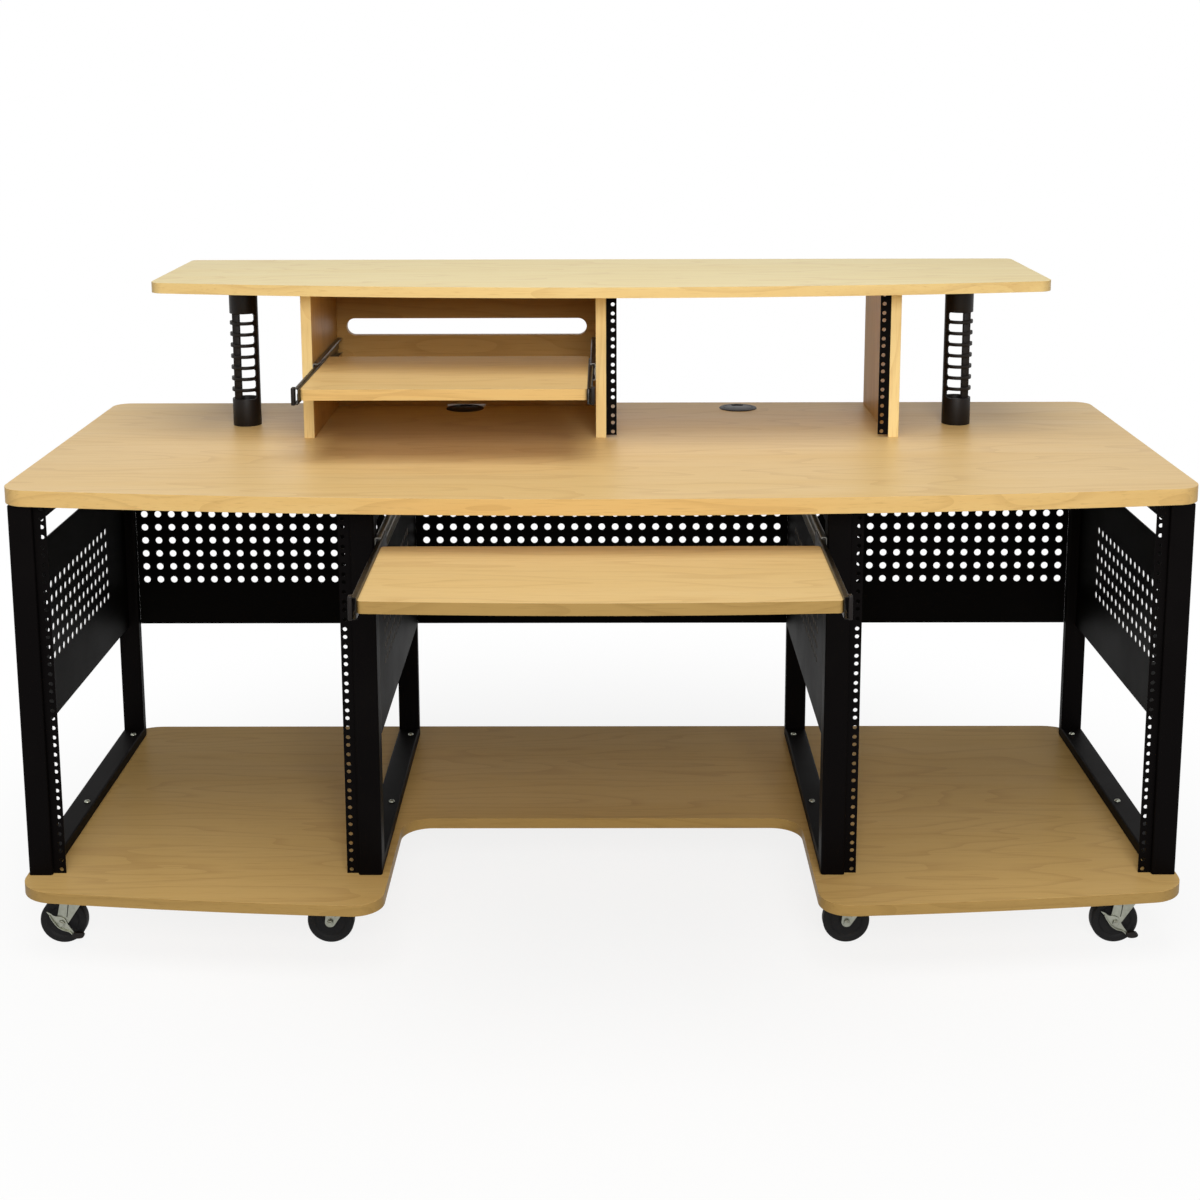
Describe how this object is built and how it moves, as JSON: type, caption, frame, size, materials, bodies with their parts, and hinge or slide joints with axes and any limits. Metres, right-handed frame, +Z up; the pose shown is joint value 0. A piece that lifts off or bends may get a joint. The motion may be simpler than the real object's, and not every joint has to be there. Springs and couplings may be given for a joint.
{
  "type": "studio desk",
  "caption": "Wheeled maple studio desk with bowed worktop, side rack bays, sliding keyboard tray and a raised bridge with pull-out tray, rack bay and long shelf.",
  "frame": {"origin": "centre of the desk's footprint on the floor, half way between the front of the drawn-out keyboard tray and the rear edge of the worktop", "axes": "+X to the user's right along the worktop, +Y to the back of the desk, +Z up"},
  "size_m": [1.85, 1.024, 1.0284],
  "materials": {
    "maple_laminate": "satin hard maple laminate",
    "black_powder_coat": "fine-textured black powder coat",
    "black_plastic": "matt moulded plastic",
    "slide_steel": "dull zinc-plated rolled steel",
    "zinc_plate": "bright zinc plate",
    "wheel_rubber": "matt black rubber"
  },
  "bodies": {
    "desk": {"desktop": "maple_laminate", "base_board": "maple_laminate", "shelf_top": "maple_laminate", "divider_left": "maple_laminate", "divider_centre": "maple_laminate", "divider_right": "maple_laminate", "bridge_back": "maple_laminate", "side_frame_left_outer": "black_powder_coat", "side_frame_left_inner": "black_powder_coat", "side_frame_right_inner": "black_powder_coat", "side_frame_right_outer": "black_powder_coat", "rack_rail_left_outer": "black_powder_coat", "rack_rail_left_inner": "black_powder_coat", "rack_rail_right_inner": "black_powder_coat", "rack_rail_right_outer": "black_powder_coat", "bridge_rail_left": "black_powder_coat", "bridge_rail_right": "black_powder_coat", "side_panel_left_outer": "black_powder_coat", "side_panel_left_inner": "black_powder_coat", "side_panel_right_inner": "black_powder_coat", "side_panel_right_outer": "black_powder_coat", "back_panel_left": "black_powder_coat", "back_panel_centre": "black_powder_coat", "back_panel_right": "black_powder_coat", "post_left": "black_plastic", "post_right": "black_plastic", "grommet_left": "black_plastic", "grommet_right": "black_plastic", "grommet_cap_left": "black_plastic", "grommet_cap_right": "black_plastic", "keyboard_slide_left": "slide_steel", "keyboard_slide_right": "slide_steel", "upper_slide_left": "slide_steel", "upper_slide_right": "slide_steel"},
    "keyboard_shelf": {"keyboard_tray": "maple_laminate", "keyboard_runner_left": "slide_steel", "keyboard_runner_right": "slide_steel"},
    "pull_out_shelf": {"upper_tray": "maple_laminate", "upper_runner_left": "slide_steel", "upper_runner_right": "slide_steel"},
    "caster_front_left_outer": {"fork_front_left_outer": "zinc_plate"},
    "roller_front_left_outer": {"wheel_front_left_outer": "wheel_rubber"},
    "brake_front_left_outer": {"brake_lever_front_left_outer": "zinc_plate"},
    "caster_front_left_inner": {"fork_front_left_inner": "zinc_plate"},
    "roller_front_left_inner": {"wheel_front_left_inner": "wheel_rubber"},
    "caster_front_right_inner": {"fork_front_right_inner": "zinc_plate"},
    "roller_front_right_inner": {"wheel_front_right_inner": "wheel_rubber"},
    "caster_front_right_outer": {"fork_front_right_outer": "zinc_plate"},
    "roller_front_right_outer": {"wheel_front_right_outer": "wheel_rubber"},
    "brake_front_right_outer": {"brake_lever_front_right_outer": "zinc_plate"},
    "caster_rear_left_outer": {"fork_rear_left_outer": "zinc_plate"},
    "roller_rear_left_outer": {"wheel_rear_left_outer": "wheel_rubber"},
    "caster_rear_left_inner": {"fork_rear_left_inner": "zinc_plate"},
    "roller_rear_left_inner": {"wheel_rear_left_inner": "wheel_rubber"},
    "caster_rear_right_inner": {"fork_rear_right_inner": "zinc_plate"},
    "roller_rear_right_inner": {"wheel_rear_right_inner": "wheel_rubber"},
    "caster_rear_right_outer": {"fork_rear_right_outer": "zinc_plate"},
    "roller_rear_right_outer": {"wheel_rear_right_outer": "wheel_rubber"}
  },
  "joints": [
    {"name": "keyboard_tray_slide", "type": "slide", "parent": "desk", "child": "keyboard_shelf", "axis": [0, 1, 0], "range_m": [0, 0.3]},
    {"name": "upper_tray_slide", "type": "slide", "parent": "desk", "child": "pull_out_shelf", "axis": [0, 1, 0], "range_m": [0, 0.185]},
    {"name": "swivel_front_left_outer", "type": "hinge", "parent": "desk", "child": "caster_front_left_outer", "pos_m": [-0.846, -0.18, 0.102], "axis": [0, 0, 1], "continuous": true},
    {"name": "roll_front_left_outer", "type": "hinge", "parent": "caster_front_left_outer", "child": "roller_front_left_outer", "pos_m": [-0.8673, -0.18, 0.0375], "axis": [0, 1, 0], "continuous": true},
    {"name": "brake_front_left_outer", "type": "hinge", "parent": "caster_front_left_outer", "child": "brake_front_left_outer", "pos_m": [-0.8673, -0.18, 0.0375], "axis": [0, 1, 0], "range_deg": [-25, 0]},
    {"name": "swivel_front_left_inner", "type": "hinge", "parent": "desk", "child": "caster_front_left_inner", "pos_m": [-0.415, -0.18, 0.102], "axis": [0, 0, 1], "continuous": true},
    {"name": "roll_front_left_inner", "type": "hinge", "parent": "caster_front_left_inner", "child": "roller_front_left_inner", "pos_m": [-0.4363, -0.18, 0.0375], "axis": [0, 1, 0], "continuous": true},
    {"name": "swivel_front_right_inner", "type": "hinge", "parent": "desk", "child": "caster_front_right_inner", "pos_m": [0.415, -0.18, 0.102], "axis": [0, 0, 1], "continuous": true},
    {"name": "roll_front_right_inner", "type": "hinge", "parent": "caster_front_right_inner", "child": "roller_front_right_inner", "pos_m": [0.3937, -0.18, 0.0375], "axis": [0, 1, 0], "continuous": true},
    {"name": "swivel_front_right_outer", "type": "hinge", "parent": "desk", "child": "caster_front_right_outer", "pos_m": [0.846, -0.18, 0.102], "axis": [0, 0, 1], "continuous": true},
    {"name": "roll_front_right_outer", "type": "hinge", "parent": "caster_front_right_outer", "child": "roller_front_right_outer", "pos_m": [0.8247, -0.18, 0.0375], "axis": [0, 1, 0], "continuous": true},
    {"name": "brake_front_right_outer", "type": "hinge", "parent": "caster_front_right_outer", "child": "brake_front_right_outer", "pos_m": [0.8247, -0.18, 0.0375], "axis": [0, 1, 0], "range_deg": [-25, 0]},
    {"name": "swivel_rear_left_outer", "type": "hinge", "parent": "desk", "child": "caster_rear_left_outer", "pos_m": [-0.846, 0.37, 0.102], "axis": [0, 0, 1], "continuous": true},
    {"name": "roll_rear_left_outer", "type": "hinge", "parent": "caster_rear_left_outer", "child": "roller_rear_left_outer", "pos_m": [-0.8673, 0.37, 0.0375], "axis": [0, 1, 0], "continuous": true},
    {"name": "swivel_rear_left_inner", "type": "hinge", "parent": "desk", "child": "caster_rear_left_inner", "pos_m": [-0.415, 0.37, 0.102], "axis": [0, 0, 1], "continuous": true},
    {"name": "roll_rear_left_inner", "type": "hinge", "parent": "caster_rear_left_inner", "child": "roller_rear_left_inner", "pos_m": [-0.4363, 0.37, 0.0375], "axis": [0, 1, 0], "continuous": true},
    {"name": "swivel_rear_right_inner", "type": "hinge", "parent": "desk", "child": "caster_rear_right_inner", "pos_m": [0.415, 0.37, 0.102], "axis": [0, 0, 1], "continuous": true},
    {"name": "roll_rear_right_inner", "type": "hinge", "parent": "caster_rear_right_inner", "child": "roller_rear_right_inner", "pos_m": [0.3937, 0.37, 0.0375], "axis": [0, 1, 0], "continuous": true},
    {"name": "swivel_rear_right_outer", "type": "hinge", "parent": "desk", "child": "caster_rear_right_outer", "pos_m": [0.846, 0.37, 0.102], "axis": [0, 0, 1], "continuous": true},
    {"name": "roll_rear_right_outer", "type": "hinge", "parent": "caster_rear_right_outer", "child": "roller_rear_right_outer", "pos_m": [0.8247, 0.37, 0.0375], "axis": [0, 1, 0], "continuous": true}
  ]
}
